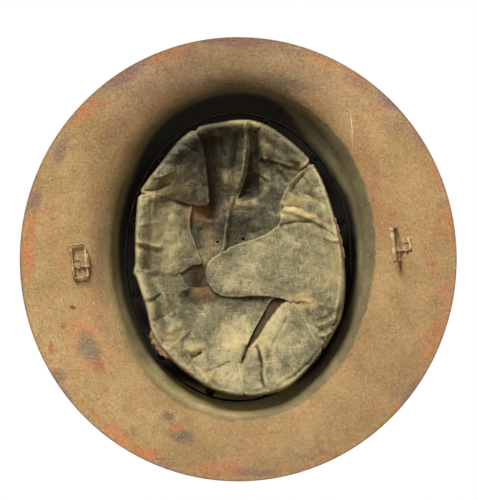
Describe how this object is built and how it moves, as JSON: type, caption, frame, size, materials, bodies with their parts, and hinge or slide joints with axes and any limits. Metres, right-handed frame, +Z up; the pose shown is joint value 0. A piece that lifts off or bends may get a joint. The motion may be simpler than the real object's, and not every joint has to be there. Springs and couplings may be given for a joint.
{
  "type": "brodie helmet",
  "caption": "Wide-brimmed pressed-steel trench helmet with a raw edge, a padded liner of cloth tongues on an oval band, and hinged flat-wire loops for a chinstrap.",
  "frame": {"origin": "middle of the brim's rim, on the surface the helmet rests on", "axes": "+Z up towards the crown, -Y forward as worn, +X towards the wearer's left"},
  "size_m": [0.298, 0.303, 0.1142],
  "materials": {
    "rusted_steel": "rusted paint",
    "bare_steel": "tarnished",
    "oilcloth": "worn oilcloth",
    "brown_felt": "felted wool",
    "grey_felt": "felted wool",
    "black_rubber": "perished"
  },
  "bodies": {
    "helmet": {"shell": "rusted_steel", "crown_rivet": "rusted_steel", "crown_washer": "bare_steel", "crown_pad": "grey_felt", "liner_cap": "oilcloth", "felt_band": "brown_felt", "head_band": "oilcloth", "rubber_buffers": "black_rubber", "buffer_strip": "oilcloth", "tongue_left": "oilcloth", "tongue_front_right": "oilcloth", "tongue_right": "oilcloth", "tongue_back_left": "oilcloth", "tongue_front_left": "oilcloth", "tongue_back_right": "oilcloth", "tongue_front": "oilcloth", "strap_clip_right": "bare_steel", "split_rivet_right": "bare_steel", "strap_clip_left": "bare_steel", "split_rivet_left": "bare_steel"},
    "loop_right": {"strap_loop_right": "bare_steel"},
    "loop_left": {"strap_loop_left": "bare_steel"}
  },
  "joints": [
    {"name": "strap_loop_right_hinge", "type": "hinge", "parent": "helmet", "child": "loop_right", "pos_m": [-0.1055, 0.0008, 0.01601], "axis": [0.1044, 0.9937, 0.0418], "range_deg": [-177, 5]},
    {"name": "strap_loop_left_hinge", "type": "hinge", "parent": "helmet", "child": "loop_left", "pos_m": [0.10998, -0.00991, 0.0134], "axis": [-0.1045, -0.9943, 0.0219], "range_deg": [-94, 88]}
  ]
}
